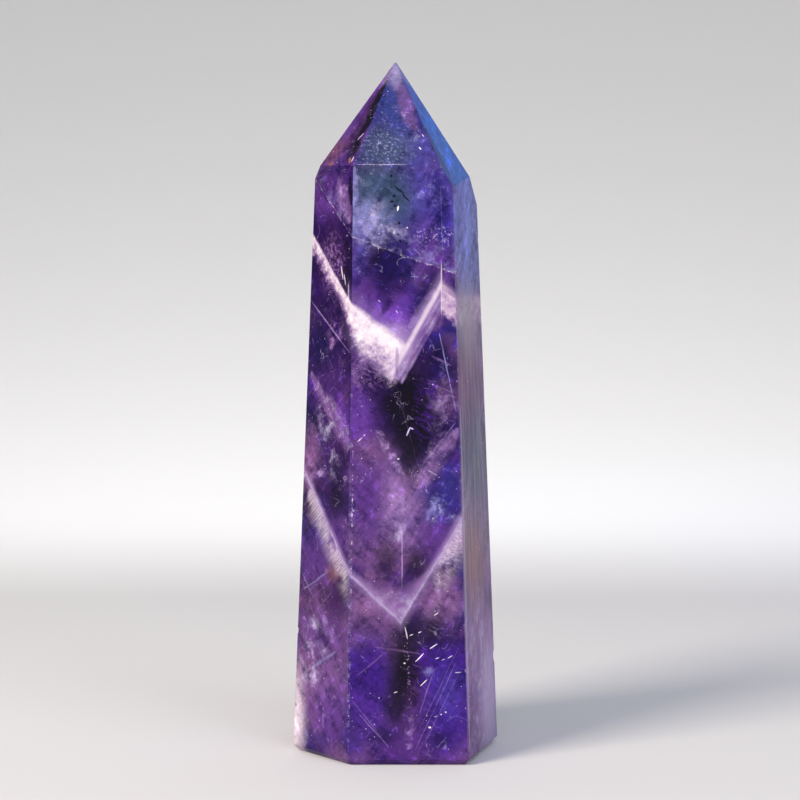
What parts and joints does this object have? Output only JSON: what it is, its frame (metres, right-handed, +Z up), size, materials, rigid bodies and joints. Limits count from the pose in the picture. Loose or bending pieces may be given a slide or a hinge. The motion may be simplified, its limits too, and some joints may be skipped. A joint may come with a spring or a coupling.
{
  "type": "chevron amethyst obelisk",
  "caption": "Free-standing obelisk cut from one piece of chevron-banded amethyst: a polished hexagonal column that narrows upwards to a faceted point, with a flat bevelled foot, for display.",
  "frame": {"origin": "centre of the flat foot, on the surface that the stone stands on", "axes": "+Z up the column to the tip, -Y out of the broad front flat, +X to the right of that flat"},
  "size_m": [0.0298, 0.0246, 0.1],
  "materials": {
    "amethyst": "polished, with pale chevron bands in violet quartz"
  },
  "bodies": {
    "root": {"obelisk": "amethyst"}
  },
  "joints": []
}
